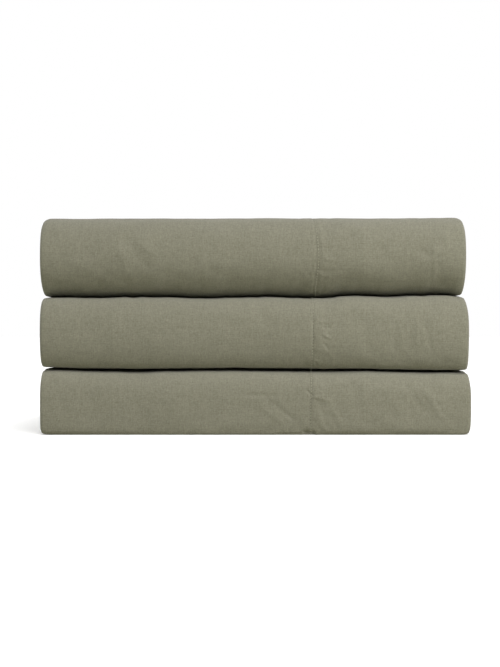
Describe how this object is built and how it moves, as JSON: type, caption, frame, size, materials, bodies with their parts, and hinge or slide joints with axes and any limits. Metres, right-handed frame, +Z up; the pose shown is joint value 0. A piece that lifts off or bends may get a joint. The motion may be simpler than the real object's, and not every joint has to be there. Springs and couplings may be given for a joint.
{
  "type": "folded duvet cover stack",
  "caption": "Stack of flat-folded washed-linen duvet covers, each with nested front folds and a deep hem with a stitched seam; each cover lifts off the one below.",
  "frame": {"origin": "centre of the stack's footprint, on the underside of the bottom cover", "axes": "+X along the width towards the hem ends, -Y towards the front folds, +Z up"},
  "size_m": [0.388, 0.275, 0.1945],
  "materials": {
    "bottom_core_turn": "washed linen, matt",
    "bottom_hem_band": "washed linen, matt",
    "bottom_hem_stitching": "spun sewing thread, matt",
    "bottom_outer_cloth": "washed linen, matt",
    "bottom_rear_lobe_inner": "washed linen, matt",
    "bottom_rear_lobe_outer": "washed linen, matt",
    "bottom_rear_turn": "washed linen, matt",
    "bottom_second_turn": "washed linen, matt",
    "bottom_third_turn": "washed linen, matt",
    "middle_core_turn": "washed linen, matt",
    "middle_hem_band": "washed linen, matt",
    "middle_hem_stitching": "spun sewing thread, matt",
    "middle_outer_cloth": "washed linen, matt",
    "middle_rear_lobe_inner": "washed linen, matt",
    "middle_rear_lobe_outer": "washed linen, matt",
    "middle_rear_turn": "washed linen, matt",
    "middle_second_turn": "washed linen, matt",
    "middle_third_turn": "washed linen, matt",
    "top_core_turn": "washed linen, matt",
    "top_hem_band": "washed linen, matt",
    "top_hem_stitching": "spun sewing thread, matt",
    "top_outer_cloth": "washed linen, matt",
    "top_rear_lobe_inner": "washed linen, matt",
    "top_rear_lobe_outer": "washed linen, matt",
    "top_rear_turn": "washed linen, matt",
    "top_second_turn": "washed linen, matt",
    "top_third_turn": "washed linen, matt"
  },
  "bodies": {
    "bottom_cover": {"bottom_core_turn": "bottom_core_turn", "bottom_hem_band": "bottom_hem_band", "bottom_hem_stitching": "bottom_hem_stitching", "bottom_outer_cloth": "bottom_outer_cloth", "bottom_rear_lobe_inner": "bottom_rear_lobe_inner", "bottom_rear_lobe_outer": "bottom_rear_lobe_outer", "bottom_rear_turn": "bottom_rear_turn", "bottom_second_turn": "bottom_second_turn", "bottom_third_turn": "bottom_third_turn"},
    "middle_cover": {"middle_core_turn": "middle_core_turn", "middle_hem_band": "middle_hem_band", "middle_hem_stitching": "middle_hem_stitching", "middle_outer_cloth": "middle_outer_cloth", "middle_rear_lobe_inner": "middle_rear_lobe_inner", "middle_rear_lobe_outer": "middle_rear_lobe_outer", "middle_rear_turn": "middle_rear_turn", "middle_second_turn": "middle_second_turn", "middle_third_turn": "middle_third_turn"},
    "top_cover": {"top_core_turn": "top_core_turn", "top_hem_band": "top_hem_band", "top_hem_stitching": "top_hem_stitching", "top_outer_cloth": "top_outer_cloth", "top_rear_lobe_inner": "top_rear_lobe_inner", "top_rear_lobe_outer": "top_rear_lobe_outer", "top_rear_turn": "top_rear_turn", "top_second_turn": "top_second_turn", "top_third_turn": "top_third_turn"}
  },
  "joints": [
    {"name": "middle_lift", "type": "slide", "parent": "bottom_cover", "child": "middle_cover", "axis": [0, 0, 1], "range_m": [0, 0.16]},
    {"name": "top_lift", "type": "slide", "parent": "middle_cover", "child": "top_cover", "axis": [0, 0, 1], "range_m": [0, 0.16]}
  ]
}
